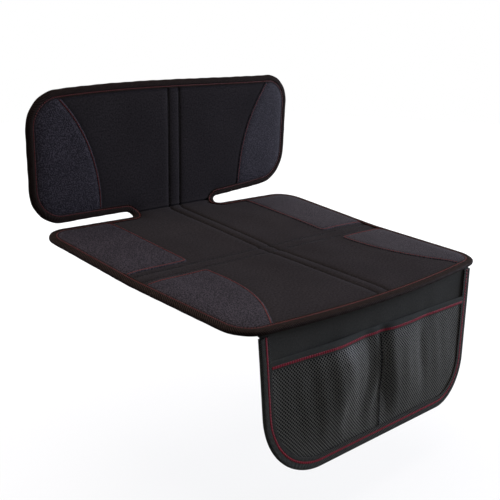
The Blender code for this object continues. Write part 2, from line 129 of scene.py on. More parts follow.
@dataclass(frozen=True)
class Finish:
    """A surface of two colours that a pattern mixes; the pattern's height also stands up as a relief."""

    name: str
    dark: str
    light: str
    roughness: float
    gloss: float = 0.01
    sheen: float = 0.0
    ior: float = 1.5
    strength: float = 0.0
    relief: float = 0.1 * MM
    coordinates: str = "UV"

    def start(self) -> tuple[Material, NodeTree, NodeSocket]:
        """Makes the material without its pattern.

        Returns:
            The material, its nodes, and the place of a point in metres.
        """
        material, tree, _ = new_material(self.name)
        return material, tree, add(tree, "ShaderNodeTexCoord").outputs[self.coordinates]

    def dressed(self, material: Material, shade: Node, height: Node) -> Material:
        """Mixes the colours, raises the relief and sets the shader.

        Args:
            material: The material.
            shade: The node that mixes the colours.
            height: The node that gives the pattern's height.

        Returns:
            The same material.
        """
        tree = material.node_tree
        shader = tree.nodes["Principled BSDF"]
        colours = {"data_type": "RGBA", 6: linear(self.dark), 7: linear(self.light)}
        mix = add(tree, "ShaderNodeMix", colours, {0: shade})
        tree.links.new(mix.outputs[2], shader.inputs["Base Color"])
        if self.strength:
            bump = {"Strength": self.strength, "Distance": self.relief}
            raised = add(tree, "ShaderNodeBump", bump, {"Height": height})
            tree.links.new(raised.outputs[0], shader.inputs["Normal"])
        shader.inputs["Roughness"].default_value = self.roughness
        shader.inputs["Sheen Weight"].default_value = self.sheen
        shader.inputs["Sheen Roughness"].default_value = 0.5
        shader.inputs["Specular IOR Level"].default_value = self.gloss
        shader.inputs["IOR"].default_value = self.ior
        return material


@dataclass(frozen=True)
class WovenPolyester(Finish):
    """Polyester cloth, plain woven from textured yarn and dyed black: dull, a little greyer where the yarn
    stands up, with a fine basket of over and under.
    """

    name: str = "woven_polyester"
    dark: str = "#191718"
    light: str = "#474243"
    roughness: float = 0.86
    gloss: float = 0.005
    sheen: float = 0.01
    ior: float = 1.45
    strength: float = 0.5
    relief: float = 0.12 * MM
    yarn: float = 1.1 * MM
    slub: float = 2.4 * MM
    cloud: float = 70 * MM

    def material(self) -> Material:
        """Crossing yarns with thick and thin places, in wide clouds of wear.

        Returns:
            The material.
        """
        material, tree, place = self.start()
        axes = add(tree, "ShaderNodeSeparateXYZ", links={0: place})
        # the real cloth has about two yarns in this width; drawn coarser so that they show
        turns = math.pi / self.yarn
        yarns = []
        for axis in axes.outputs[:2]:
            phase = add(tree, MATH, {"operation": "MULTIPLY", 1: turns}, {0: axis})
            yarns.append(add(tree, MATH, {"operation": "SINE"}, {0: phase}))
        weave = add(tree, MATH, {"operation": "MULTIPLY"}, {0: yarns[0], 1: yarns[1]})
        slub = add(tree, NOISE, {"Scale": 1 / self.slub, "Detail": 3.0, "Roughness": 0.75}, {0: place})
        cloud = add(tree, NOISE, {"Scale": 1 / self.cloud, "Detail": 2.0}, {0: place})
        tone = add(tree, MATH, {"operation": "MULTIPLY_ADD", 1: 0.24, 2: -0.5}, {0: weave})
        mixed = add(tree, MATH, {"operation": "MULTIPLY_ADD", 1: 1.9}, {0: slub, 2: tone})
        even = add(tree, MATH, {"operation": "MULTIPLY_ADD", 1: 0.4, 2: 0.3}, {0: cloud})
        shade = add(tree, MATH, {"operation": "MULTIPLY", "use_clamp": True}, {0: mixed, 1: even})
        return self.dressed(material, shade, mixed)


@dataclass(frozen=True)
class GrainedLeatherette(Finish):
    """PU leatherette with an embossed pebble grain: a purple-grey satin skin whose small pebbles have
    brown-grey glints painted on their raised rims.
    """

    name: str = "pu_leatherette"
    dark: str = "#0f0e12"
    # colour of the painted glints on the pebbles' raised rims
    light: str = "#554f56"
    roughness: float = 0.6
    gloss: float = 0.025
    strength: float = 0.8
    relief: float = 0.3 * MM
    grain: float = 1.5 * MM
    warp: float = 5 * MM
    pore: float = 0.9 * MM
    cloud: float = 35 * MM

    def material(self) -> Material:
        """Warped cells with fine pores, whose raised rims are duller and painted lighter as glints.

        Returns:
            The material.
        """
        material, tree, place = self.start()
        warp = add(tree, NOISE, {"Scale": 1 / self.warp, "Detail": 2.0}, {0: place})
        shift = {"operation": "MULTIPLY_ADD", 1: (MM, MM, MM)}
        bent = add(tree, "ShaderNodeVectorMath", shift, {0: warp.outputs[1], 2: place})
        # one cell of the embossed grain in its real width of about 1.5 mm
        pebble = {"feature": "SMOOTH_F1", "Scale": 1 / self.grain, "Smoothness": 0.4}
        cells = add(tree, "ShaderNodeTexVoronoi", pebble, {0: bent})
        pores = add(tree, NOISE, {"Scale": 1 / self.pore, "Detail": 3.0, "Roughness": 0.6}, {0: place})
        height = add(tree, MATH, {"operation": "MULTIPLY_ADD", 1: 0.35}, {0: pores, 2: cells})
        cloud = add(tree, NOISE, {"Scale": 1 / self.cloud, "Detail": 3.0}, {0: place})
        # painted highlight: the raised rims of the grain take the light colour as glints
        top = add(tree, "ShaderNodeMapRange", {"From Min": 0.47, "From Max": 0.88}, {0: height})
        even = add(tree, MATH, {"operation": "MULTIPLY_ADD", 1: 0.3, 2: 0.35}, {0: cloud})
        span = {"To Min": self.roughness - 0.08, "To Max": self.roughness + 0.1}
        rough = add(tree, "ShaderNodeMapRange", span, {0: height})
        tree.links.new(rough.outputs[0], tree.nodes["Principled BSDF"].inputs["Roughness"])
        shade = add(tree, MATH, {"operation": "MULTIPLY"}, {0: top, 1: even})
        return self.dressed(material, shade, height)


@dataclass(frozen=True)
class RibbedTape(Finish):
    """Binding tape of polyester, woven with raised ribs that lie on the bias once it is folded: near black,
    with a fine light and dark twill.
    """

    name: str = "ribbed_tape"
    dark: str = "#0b0807"
    light: str = "#3a2f2b"
    roughness: float = 0.72
    strength: float = 0.7
    relief: float = 0.25 * MM
    rib: float = 2.8 * MM
    slant: float = 0.8
    slub: float = 3 * MM

    def material(self) -> Material:
        """Slanting ribs with thick and thin places.

        Returns:
            The material.
        """
        material, tree, place = self.start()
        along, across, _ = add(tree, "ShaderNodeSeparateXYZ", links={0: place}).outputs
        # the real ribs are about 1.2 mm apart; drawn coarser so that they show
        turns = 2 * math.pi / self.rib
        bias = add(tree, MATH, {"operation": "MULTIPLY_ADD", 1: self.slant}, {0: across, 2: along})
        phase = add(tree, MATH, {"operation": "MULTIPLY", 1: turns}, {0: bias})
        ribs = add(tree, MATH, {"operation": "SINE"}, {0: phase})
        slub = add(tree, NOISE, {"Scale": 1 / self.slub, "Detail": 3.0}, {0: place})
        height = add(tree, MATH, {"operation": "MULTIPLY_ADD", 1: 0.6}, {0: ribs, 2: slub})
        shade = add(tree, "ShaderNodeMapRange", {"From Min": 0.25, "From Max": 1.25}, {0: height})
        return self.dressed(material, shade, height)


@dataclass(frozen=True)
class SewingThread(Finish):
    """Polyester sewing thread, twisted and lightly waxed: its twist shows as slight changes from light to
    dark along each stitch.
    """

    name: str = "red_sewing_thread"
    dark: str = "#4e1c1c"
    light: str = "#70312d"
    roughness: float = 0.55
    gloss: float = 0.08
    strength: float = 0.4
    coordinates: str = "Object"
    twist: float = 0.8 * MM
    detail: float = 1.0

    def material(self) -> Material:
        """Small light and dark places.

        Returns:
            The material.
        """
        material, tree, place = self.start()
        # one light place in each turn of the yarn
        twist = add(tree, NOISE, {"Scale": 1 / self.twist, "Detail": self.detail}, {0: place})
        return self.dressed(material, twist, twist)


@dataclass(frozen=True)
class NetYarn(SewingThread):
    """Yarn of a warp-knitted polyester net: dark grey, with a faint gloss on its loops."""

    name: str = "knitted_net"
    dark: str = "#403f3a"
    light: str = "#7b7a72"
    roughness: float = 0.45
    ior: float = 1.55
    strength: float = 0.0
    coordinates: str = "UV"
    twist: float = 1.5 * MM
    detail: float = 2.0


# Paths and meshes


def rounded(corners: Sequence[tuple[float, float, float]], step: float = 2 * MM) -> Array:
    """Rounds the corners of a path.

    Args:
        corners: Corners (x, s, radius); a radius of 0 keeps the corner.
        step: Longest chord of an arc.

    Returns:
        The path's points, one row each.
    """
    points: list[Array] = []
    for i, (x, s, radius) in enumerate(corners):
        corner = np.array([x, s])
        if radius == 0.0:
            points.append(corner)
            continue
        back, on = (np.array(corners[k % len(corners)][:2]) - corner for k in (i - 1, i + 1))
        back, on = back / np.linalg.norm(back), on / np.linalg.norm(on)
        half = math.acos(float(back @ on)) / 2
        centre = corner + (back + on) / np.linalg.norm(back + on) * radius / math.sin(half)
        x0, y0 = corner + back * radius / math.tan(half) - centre
        turn = math.pi - 2 * half
        sign = 1.0 if back[0] * on[1] - back[1] * on[0] < 0.0 else -1.0
        steps = max(6, math.ceil(turn * radius / step))
        cos, sin = (wave(sign * turn * np.arange(steps + 1) / steps) for wave in (np.cos, np.sin))
        points.extend(centre + np.stack([x0 * cos - y0 * sin, x0 * sin + y0 * cos], axis=1))
    return np.array(points)


def resampled(path: Array, step: float, closed: bool = False) -> Array:
    """Spaces a path's points evenly.

    Args:
        path: The path's points.
        step: Distance wanted between points.
        closed: Whether the last point joins the first.

    Returns:
        The new points, without a repeated end.
    """
    ends = np.vstack([path, path[:1]]) if closed else path
    reach = np.concatenate([[0.0], np.cumsum(np.linalg.norm(np.diff(ends, axis=0), axis=1))])
    places = np.linspace(0.0, reach[-1], max(2, round(reach[-1] / step)) + 1)
    places = places[:-1] if closed else places
    return np.stack([np.interp(places, reach, ends[:, i]) for i in range(ends.shape[1])], axis=1)


def lefts(path: Array, closed: bool = False) -> Array:
    """The unit way to the left of a path at each point.

    Args:
        path: The path's points.
        closed: Whether the last point joins the first.

    Returns:
        One unit vector for each point.
    """
    behind, ahead = np.roll(path, 1, axis=0), np.roll(path, -1, axis=0)
    if not closed:
        behind[0], ahead[-1] = path[0], path[-1]
    tangent = ahead - behind
    tangent /= np.linalg.norm(tangent, axis=1)[:, None]
    return np.stack([-tangent[:, 1], tangent[:, 0]], axis=1)


def moved_left(path: Array, distance: float, closed: bool = False) -> Array:
    """A path moved to its left; for a counter-clockwise loop that is inwards."""
    return path + lefts(path, closed) * distance


def distance_to(points: Array, path: Array, closed: bool = False) -> Array:
    """Distance from points to a path.

    Args:
        points: Flat points, one row each.
        path: The path's points.
        closed: Whether the last point joins the first.

    Returns:
        The shortest distance of each point.
    """
    best = np.full(len(points), np.inf)
    for start, end in zip(path if closed else path[:-1], np.roll(path, -1, axis=0)):
        way = end - start
        length = float(np.linalg.norm(way))
        if length > 0.0:
            share = np.clip((points - start) @ way / length**2, 0.0, 1.0)
            best = np.minimum(best, np.linalg.norm(points - start - share[:, None] * way, axis=1))
    return best


def inside(points: Array, ring: Array) -> Array:
    """Which points lie inside a ring.

    Args:
        points: Flat points, one row each.
        ring: The ring's points.

    Returns:
        True for each point inside.
    """
    result = np.zeros(len(points), bool)
    for (x0, y0), (x1, y1) in zip(ring, np.roll(ring, -1, axis=0)):
        if y0 != y1:
            spans = (y0 > points[:, 1]) != (y1 > points[:, 1])
            result ^= spans & (points[:, 0] < (x1 - x0) * (points[:, 1] - y0) / (y1 - y0) + x0)
    return result


def lattice(across: Array, along: Array) -> Array:
    """Every point that has one of the first values and one of the second."""
    return np.stack(np.meshgrid(across, along), axis=2).reshape(-1, 2)


def bell(gap: Array | float, width: float) -> Array | float:
    """A bell curve of height 1."""
    return np.exp(-((gap / width) ** 2))


def flat_at(height: float) -> Height:
    """A surface that has one height everywhere."""
    return lambda flat: np.full(len(flat), height)


def waves(flat: Array, span: float, seed: int) -> Array:
    """Soft, even unevenness.

    Args:
        flat: Flat points.
        span: Rough distance between its hills.
        seed: Number that picks one pattern.

    Returns:
        A height from about -1 to 1 at each point.
    """
    source = np.random.default_rng(seed)
    total = np.zeros(len(flat))
    for _ in range(7):
        angle, phase = source.uniform(0.0, 2 * math.pi, 2)
        stretch = 2 * math.pi / span * source.uniform(0.6, 1.5)
        total += np.sin(stretch * (flat[:, 0] * math.cos(angle) + flat[:, 1] * math.sin(angle)) + phase)
    return total / 4


def tube(count: int, size: int, closed: bool) -> list[tuple[int, ...]]:
    """Faces of a tube.

    Args:
        count: How many rings of points it has.
        size: How many points each ring has.
        closed: Whether the last ring joins the first; if not, both ends are shut.

    Returns:
        The numbers of each face's points.
    """
    faces = []
    for i in range(count if closed else count - 1):
        k = (i + 1) % count * size
        for j in range(size):
            m = (j + 1) % size
            faces.append((i * size + j, i * size + m, k + m, k + j))
    if not closed:
        faces += [tuple(range(size))[::-1], tuple(range((count - 1) * size, count * size))]
    return faces


@dataclass(frozen=True)
class StitchSize:
    """Sizes of a row of lockstitches."""

    pitch: float = 3.4 * MM
    length: float = 3.1 * MM
    radius: float = 0.55 * MM
    sink: float = 0.25 * MM
    flatness: float = 1.0
    rings: int = 6
    sides: int = 6


@dataclass(frozen=True)
class Piece:
    """A piece to be made, with its material and the way its flat points and heights are put in place."""

    name: str
    material: Material
    place: Place
    sharp_angle: float = math.radians(60.0)

    def mesh(self, points: Array, faces: Sequence[Sequence[int]], pattern: Array) -> Object:
        """Makes the piece from points and faces.

        Args:
            points: Its vertices.
            faces: Vertex numbers of each face.
            pattern: Pattern place of each vertex, in metres.

        Returns:
            The object, riding on the model's one body.
        """
        data = bpy.data.meshes.new(self.name)
        data.from_pydata(points.tolist(), [], [tuple(face) for face in faces])
        layer = data.uv_layers.new(name="pattern")
        corners = np.zeros(len(data.loops), int)
        data.loops.foreach_get("vertex_index", corners)
        layer.data.foreach_set("uv", pattern[corners].astype(np.float32).ravel())
        data.shade_smooth()
        data.set_sharp_from_angle(angle=self.sharp_angle)
        data.materials.append(self.material)
        thing = bpy.data.objects.new(self.name, data)
        bpy.context.scene.collection.objects.link(thing)
        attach(thing, "root")
        log.info("%s: %d vertices, %d faces", self.name, len(points), len(faces))
        return thing

    def slab(self, ring: Array, inner: Array, low: Height, high: Height) -> Object:
        """Makes a closed solid over a flat region.

        Args:
            ring: The region's outline, counter-clockwise.
            inner: Flat points inside it that become vertices.
            low: Height of the lower side at flat points.
            high: Height of the upper side at flat points.

        Returns:
            The object.
        """
        scaled = [Vector((x / MM, y / MM)) for x, y in np.vstack([ring, inner])]
        spots, _, faces, _, _, _ = delaunay_2d_cdt(scaled, [], [list(range(len(ring)))], 1, 1e-4)
        flat = np.array([tuple(spot) for spot in spots]) * MM
        triangles = np.array([tuple(face) for face in faces])
        count = len(flat)
        points = np.vstack([self.place(flat, high(flat)), self.place(flat, low(flat))])
        a, b, c = (flat[triangles[:, i]] for i in range(3))
        turned = np.cross(b - a, c - a) < 0.0
        triangles[turned] = triangles[turned][:, ::-1]
        border: dict[tuple[int, int], None] = {}
        for i, j in np.vstack([triangles[:, [0, 1]], triangles[:, [1, 2]], triangles[:, [2, 0]]]).tolist():
            if (j, i) in border:
                del border[(j, i)]
            else:
                border[(i, j)] = None
        walls = [(i, i + count, j + count, j) for i, j in border]
        everything = triangles.tolist() + (triangles[:, ::-1] + count).tolist() + walls
        return self.mesh(points, everything, np.vstack([flat, flat]))

    def swept(self, path: Array, section: Array, closed: bool) -> Object:
        """Sweeps a closed section along a flat path.

        Args:
            path: The path's points.
            section: Points (distance to the left, height), clockwise, or one such section per path point.
            closed: Whether the path is a loop.

        Returns:
            The object.
        """
        sections = np.broadcast_to(section, (len(path), *section.shape[-2:]))
        flat = path[:, None, :] + lefts(path, closed)[:, None, :] * sections[:, :, :1]
        points = self.place(flat.reshape(-1, 2), sections[:, :, 1].ravel())
        along, around = (
            np.concatenate([[0.0], np.cumsum(np.linalg.norm(np.diff(line, axis=0), axis=1))])
            for line in (path, sections[0])
        )
        pattern = np.stack(np.broadcast_arrays(along[:, None], around[None, :]), axis=2).reshape(-1, 2)
        faces = [face[:1] + face[:0:-1] for face in tube(len(path), sections.shape[1], closed)]
        return self.mesh(points, faces, pattern)

    def stitched(self, paths: Sequence[Array], height: Height, size: StitchSize, facing: int = 1) -> Object:
        """Sews rows of single stitches, each of them a short arched thread whose ends go into the cloth.

        Args:
            paths: The rows' flat paths.
            height: Height of the surface that they lie on.
            size: Sizes of the stitches.
            facing: 1 for stitches on the upper side, -1 for the lower side.

        Returns:
            The object.
        """
        middles, ways, ups = [], [], []
        for path in paths:
            knots = resampled(path, size.pitch)
            left = lefts(knots)
            spots, left = (knots[1:] + knots[:-1]) / 2, (left[1:] + left[:-1]) / 2
            reach = np.stack([left[:, 1], -left[:, 0]], axis=1) * size.length / 2
            tip, tail = (self.place(spot, height(spot)) for spot in (spots + reach, spots - reach))
            level = height(spots)
            middles.append(self.place(spots, level))
            ways.append(tip - tail)
            ups.append(self.place(spots, level + facing * MM) - middles[-1])
        centre, way, up = (np.vstack(group) for group in (middles, ways, ups))
        way /= np.linalg.norm(way, axis=1)[:, None]
        up /= np.linalg.norm(up, axis=1)[:, None]
        share = np.linspace(-1.0, 1.0, size.rings)[:, None]
        thick = size.radius * np.sqrt(np.maximum(0.02, 1.0 - share**6))
        arch = (size.radius * 0.75 - size.radius * share**4) * size.flatness - size.sink * share**4
        turn = np.arange(size.sides) * 2 * math.pi / size.sides
        run = np.broadcast_to(share * size.length / 2, (size.rings, size.sides))
        rise = arch + size.flatness * thick * np.cos(turn)
        parts = ((way, run), (up, rise), (np.cross(way, up), thick * np.sin(turn)))
        offsets = sum(axis[:, None, None] * part[None, :, :, None] for axis, part in parts)
        points = (centre[:, None, None] + offsets).reshape(-1, 3)
        one = tube(size.rings, size.sides, closed=False)
        starts = range(0, len(points), size.rings * size.sides)
        faces = [tuple(v + start for v in face) for start in starts for face in one]
        return self.mesh(points, faces, points[:, :2])


# The mat


@dataclass(frozen=True)
class MatPattern:
    """The mat as it is cut flat, and how it is folded on the seat: the same values as the CAD solids."""

    seat_width: float = 0.470
    back_width: float = 0.474
    front_length: float = 0.1795
    rear_length: float = 0.185
    back_height: float = 0.171
    front_bow: float = 0.0175
    back_top_bow: float = 0.0045
    back_lower_drop: float = 0.0045
    back_lower_rise: float = 0.007
    waist_width: float = 0.156
    front_corner: float = 0.038
    rear_corner: float = 0.036
    back_lower_corner: float = 0.050
    back_upper_corner: float = 0.047
    rear_slope: float = math.radians(9.8)
    fold_turn: float = math.radians(2.8)
    fold_radius: float = 0.020
    crease_radius: float = 0.0096
    back_lift: float = 0.0105
    back_spread: float = 0.012
    pad: float = 0.0075
    binding_width: float = 0.012
    row_inset: float = 0.0095
    channel_width: float = 0.020
    fold_channel_width: float = 0.0175
    panel_row_inset: float = 0.0025
    panel_gap: float = 0.0165
    panel_corner: float = 0.006
    back_panel_x: float = 0.129
    back_panel_radius: float = 0.222
    back_panel_lean: float = math.radians(44.0)
    rear_panel_x: float = 0.1295
    front_panel_x: float = 0.1305
    front_panel_side: float = 0.031
    front_panel_run: float = 0.18
    front_panel_radius: float = 0.170
    front_panel_lean: float = math.radians(36.0)
    past_edge: float = 0.5
    bow_points: int = 30
    bow_end: float = 1.05
    notch_share: float = 0.99

    def stations(self) -> list[tuple[float, float, float, float, float]]:
        """Where each straight or bent run of the underside starts.

        Returns:
            Length along the pattern, y, z, slope and curvature, from front to back.
        """
        fold, crease = self.fold_radius + self.pad, self.crease_radius + self.pad
        runs = (
            (self.front_length, 0.0), (fold * self.fold_turn, 1.0 / fold), (self.rear_length, 0.0),
            (crease * (math.pi / 2 - self.rear_slope), 1.0 / crease), (self.back_height, 0.0),
        )
        s, y, z, angle = 0.0, 0.0, 0.0, self.rear_slope - self.fold_turn
        table = []
        for length, bend in runs:
            table.append((s, y, z, angle, bend))
            end = angle + length * bend
            if bend == 0.0:
                y, z = y + length * math.cos(angle), z + length * math.sin(angle)
            else:
                y += (math.sin(end) - math.sin(angle)) / bend
                z -= (math.cos(end) - math.cos(angle)) / bend
            s, angle = s + length, end
        s0, y0, z0, slope, _ = table[2]
        half = self.rear_length / 2
        shift = (s0 + half, y0 + half * math.cos(slope), z0 + half * math.sin(slope))
        return [(s - shift[0], y - shift[1], z - shift[2], angle, bend) for s, y, z, angle, bend in table]

    @property
    def levels(self) -> tuple[float, float, float, float, float]:
        """Places along the pattern: front edge, fold's start and end, seat's rear edge, backrest's foot."""
        return tuple(station[0] for station in self.stations())

    @property
    def fold(self) -> float:
        """Place of the fold's middle along the pattern."""
        return (self.levels[1] + self.levels[2]) / 2

    @property
    def crease(self) -> float:
        """Place of the deepest line between seat and backrest."""
        return (self.levels[3] + self.levels[4]) / 2 + 3 * MM

    def lay(self, flat: Array, height: Array) -> Array:
        """Folds the pattern.

        Args:
            flat: Points (x, s) of the flat pattern.
            height: Height of each above the underside.

        Returns:
            Their places on the folded mat.
        """
        x, s = flat[:, 0], flat[:, 1]
        y, z, angle = np.zeros((3, len(flat)))
        for i, (start, y0, z0, slope, bend) in enumerate(self.stations()):
            here = s >= start if i else np.ones(len(flat), bool)
            run = s[here] - start
            end = slope + run * bend
            if bend == 0.0:
                y[here], z[here] = y0 + run * math.cos(slope), z0 + run * math.sin(slope)
            else:
                y[here] = y0 + (np.sin(end) - math.sin(slope)) / bend
                z[here] = z0 - (np.cos(end) - math.cos(slope)) / bend
            angle[here] = end
        rear, back = self.levels[3], self.levels[4]
        out = x / (self.back_width / 2)
        share = np.clip((s - rear) / (back - rear), 0.0, 1.0)
        lift = self.back_lift * share**2 * (3.0 - 2.0 * share) * (out + out**3) / 2
        spread = self.back_spread * np.maximum(0.0, s - back) / self.back_height * ((1.0 + out) / 2) ** 2
        return np.stack([x + spread, y - height * np.sin(angle), z + height * np.cos(angle) + lift], axis=1)

    def outline(self, step: float) -> Array:
        """The mat's outer edge laid flat.

        Args:
            step: Distance between its points.

        Returns:
            Its points, counter-clockwise.
        """
        front, start, end, rear, back = self.levels
        lower, top = back - self.back_lower_drop, back + self.back_height
        waist, seat, wide = self.waist_width / 2, self.seat_width / 2, self.back_width / 2
        notch = self.notch_share * (lower - rear) / 2
        bow_reach = np.linspace(0.0, seat - self.bow_end * self.front_corner, self.bow_points)
        top_reach = np.linspace(0.0, wide - self.bow_end * self.back_upper_corner, self.bow_points)
        right = [(x, front - self.front_bow * (1.0 - (x / seat) ** 2), 0.0) for x in bow_reach]
        right += [(seat, front, self.front_corner), (seat, start, 0.0), (seat, end, 0.0)]
        right += [(seat, rear, self.rear_corner), (waist, rear, notch), (waist, lower, notch)]
        right += [(wide, lower + self.back_lower_rise, self.back_lower_corner)]
        right += [(wide, top, self.back_upper_corner)]
        right += [(x, top + self.back_top_bow * (1.0 - (x / wide) ** 2), 0.0) for x in top_reach[::-1]]
        left = [(-x, s, radius) for x, s, radius in reversed(right) if x > 0.0]
        return resampled(rounded(right + left), step, closed=True)

    def border(self, area: Area) -> Array:
        """The inner edge of a right-hand grained panel, with the panel on its left.

        Args:
            area: Which pair of panels.

        Returns:
            The border's points, running on past the mat's edge.
        """
        if area is Area.BACKREST:
            x, low = self.back_panel_x, self.levels[4]
            lean, high = math.tan(self.back_panel_lean), self.back_height
            bend = low + self.binding_width + self.back_panel_radius * math.tan(self.back_panel_lean / 2)
            corners = [(x + high * lean, bend + high, 0.0), (x, bend, self.back_panel_radius),
                       (x, low - self.binding_width, 0.0)]
        elif area is Area.REAR:
            x, edge = self.rear_panel_x, self.fold + self.panel_gap
            corners = [(x, self.levels[3] + self.binding_width, 0.0), (x, edge, self.panel_corner),
                       (self.past_edge, edge, 0.0)]
        else:
            x, edge, far = self.front_panel_x, self.fold - self.panel_gap, self.front_panel_run
            bend = edge - self.front_panel_side
            bend -= self.front_panel_radius * math.tan(self.front_panel_lean / 2)
            corners = [(self.past_edge, edge, 0.0), (x, edge, self.panel_corner),
                       (x, bend, self.front_panel_radius),
                       (x + far * math.tan(self.front_panel_lean), bend - far, 0.0)]
        return resampled(rounded(corners), 2 * MM)


def mirrored(path: Array, side: Side) -> Array:
    """A right-hand path, or its mirror image with its panel still on the left."""
    return path if side is Side.RIGHT else (path * (side.value, 1.0))[::-1]


def enclosed(border: Array, ring: Array) -> Array:
    """Joins a panel's border to the stretch of ring that closes it.

    Args:
        border: The panel's free edge, with the panel on its left.
        ring: The mat's edge moved inwards, counter-clockwise.

    Returns:
        The panel's outline, counter-clockwise, with points about 2.5 mm apart.
    """
    fine, dense = resampled(border, 0.5 * MM), resampled(ring, 0.5 * MM, closed=True)
    kept = np.flatnonzero(inside(fine, ring))
    stretch = fine[kept[0]:kept[-1] + 1]
    start, end = (int(np.argmin(np.linalg.norm(dense - stretch[i], axis=1))) for i in (-1, 0))
    rest = dense[(start + np.arange((end - start) % len(dense) + 1)) % len(dense)]
    return resampled(np.vstack([stretch, rest]), 2.5 * MM, closed=True)


@dataclass
class PaddedMat:
    """The padded mat with its panels, binding and sewn rows."""

    form: MatPattern
    cloth: Material
    leather: Material
    tape: Material
    thread: Material
    binding_thread: Material
    dark_thread: Material
    spacing: float = 3.6 * MM
    lip: float = 5.9 * MM
    crown: float = 2.0 * MM
    crown_reach: float = 9 * MM
    groove: tuple[float, float] = (1.2 * MM, 1.5 * MM)
    dip: tuple[float, float] = (0.75 * MM, 5 * MM)
    row_dip: tuple[float, float] = (0.8 * MM, 4 * MM)
    crease: tuple[float, float] = (3.6 * MM, 1.3 * MM)
    pucker: float = 7 * MM
    unevenness: float = 0.35 * MM
    hill: float = 0.11
    calm_rim: float = 30 * MM
    pad_inset: float = 1.6 * MM
    under_tape: float = 1.3 * MM
    under_groove: float = 0.5 * MM
    thinnest: float = 2.5 * MM
    leather_thickness: float = 1.1 * MM
    tape_face: float = 6.3 * MM
    stitch: StitchSize = StitchSize()
    bold_stitch: StitchSize = StitchSize(3.4 * MM, 3.2 * MM, 0.75 * MM, 0.2 * MM, 0.7)

    def __post_init__(self) -> None:
        """Works out the outline and the sewn rows once."""
        form = self.form
        self.edge = form.outline(4 * MM)
        self.channels = [sign * form.channel_width / 2 for sign in (-1, 1)]
        self.folds = [form.fold + sign * form.fold_channel_width / 2 for sign in (-1, 1)]
        self.borders = {(area, side): mirrored(form.border(area), side) for area in Area for side in Side}
        inset = form.panel_row_inset
        self.rows = {key: self.within(moved_left(border, inset)) for key, border in self.borders.items()}

    def within(self, path: Array) -> Array:
        """The stretch of a path that lies inside the mat's binding.

        Args:
            path: The path's points.

        Returns:
            The path's longest such stretch.
        """
        fine = resampled(path, 0.5 * MM)
        kept = inside(fine, moved_left(self.edge, self.form.binding_width + 1 * MM, closed=True))
        runs = np.flatnonzero(np.diff(np.concatenate([[0], kept.astype(int), [0]])))
        start, end = max(zip(runs[::2], runs[1::2]), key=lambda run: run[1] - run[0])
        return fine[start:end]

    def seams(self, flat: Array) -> list[tuple[Array, Array]]:
        """The distance of points from each channel, and their places along it."""
        upright = [(np.abs(flat[:, 0] - x), flat[:, 1]) for x in self.channels]
        return upright + [(np.abs(flat[:, 1] - s), flat[:, 0]) for s in self.folds]

    def upper(self, flat: Array) -> Array:
        """Height of the pad's upper side: crowned fields, drawn down along every sewn row.

        Args:
            flat: Flat points.

        Returns:
            The height at each.
        """
        inner = np.maximum(0.0, distance_to(flat, self.edge, closed=True) - self.form.binding_width)
        height = self.lip + self.crown * (1.0 - np.exp(-inner / self.crown_reach))
        height += self.unevenness * waves(flat, self.hill, seed=3) * np.minimum(1.0, inner / self.calm_rim)
        for gap, along in self.seams(flat):
            pucker = 1.0 + 0.25 * np.sin(along * 2 * math.pi / self.pucker)
            height -= self.groove[0] * bell(gap, self.groove[1])
            height -= self.dip[0] * pucker * bell(gap, self.dip[1])
        for row in self.rows.values():
            height -= self.row_dip[0] * bell(distance_to(flat, resampled(row, 6 * MM)), self.row_dip[1])
        fold = self.crease[0] * bell(flat[:, 1] - self.form.crease, self.crease[1])
        return np.maximum(height - fold * (np.abs(flat[:, 0]) < self.form.waist_width), self.thinnest)

    def lower(self, flat: Array) -> Array:
        """Height of the pad's underside: flat, with a shallow line under each channel.

        Args:
            flat: Flat points.

        Returns:
            The height at each.
        """
        bound = distance_to(flat, self.edge, closed=True) < self.form.binding_width
        height = np.where(bound, self.under_tape, 0.0)
        for gap, _ in self.seams(flat):
            height = np.maximum(height, self.under_groove * bell(gap, self.groove[1]))
        return height

    def spaced(self, low: float, high: float, lines: Sequence[float]) -> Array:
        """Values at an even spacing, and closer together around some lines.

        Args:
            low: The first value.
            high: Where the values end.
            lines: Where they are closer.

        Returns:
            The values in order.
        """
        close = [line + o * MM for line in lines for o in (-3.0, -2.0, -1.2, -0.6, 0.0, 0.6, 1.2, 2.0, 3.0)]
        even = np.arange(low, high, self.spacing)
        return np.array(sorted([v for v in even if min(abs(v - line) for line in lines) > 4 * MM] + close))

    def build_pad(self) -> None:
        """The pad itself, out to the inside of its binding."""
        half = self.form.back_width / 2
        low, high = self.edge[:, 1].min(), self.edge[:, 1].max()
        lines = [*self.folds, self.form.crease]
        grid = lattice(self.spaced(-half, half, self.channels), self.spaced(low, high, lines))
        ring = moved_left(self.form.outline(3 * MM), self.pad_inset, closed=True)
        grid = grid[inside(grid, moved_left(self.edge, 3 * MM, closed=True))]
        pad = Piece("padded_mat", self.cloth, self.form.lay).slab(ring, grid, self.lower, self.upper)
        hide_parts("mat_body")

    def build_panels(self) -> None:
        """The grained panels, each with its turned edge raised a little along its thread row."""
        ring = moved_left(self.edge, self.form.binding_width - 2 * MM, closed=True)
        for (area, side), border in self.borders.items():
            name = f"{area.value}_panel_{side.name.lower()}"
            outline = enclosed(border, ring)
            low, high = outline.min(axis=0), outline.max(axis=0)
            grid = lattice(*(np.arange(low[i], high[i], 2.6 * MM) for i in (0, 1)))
            inner = grid[inside(grid, outline) & (distance_to(grid, outline, closed=True) > 4.5 * MM)]
            for inset in (0.35, 0.8, 1.4, 2.0, 2.8, 3.8):
                rim = moved_left(outline, inset * MM, closed=True)
                inner = np.vstack([inner, rim[inside(rim, outline)]])

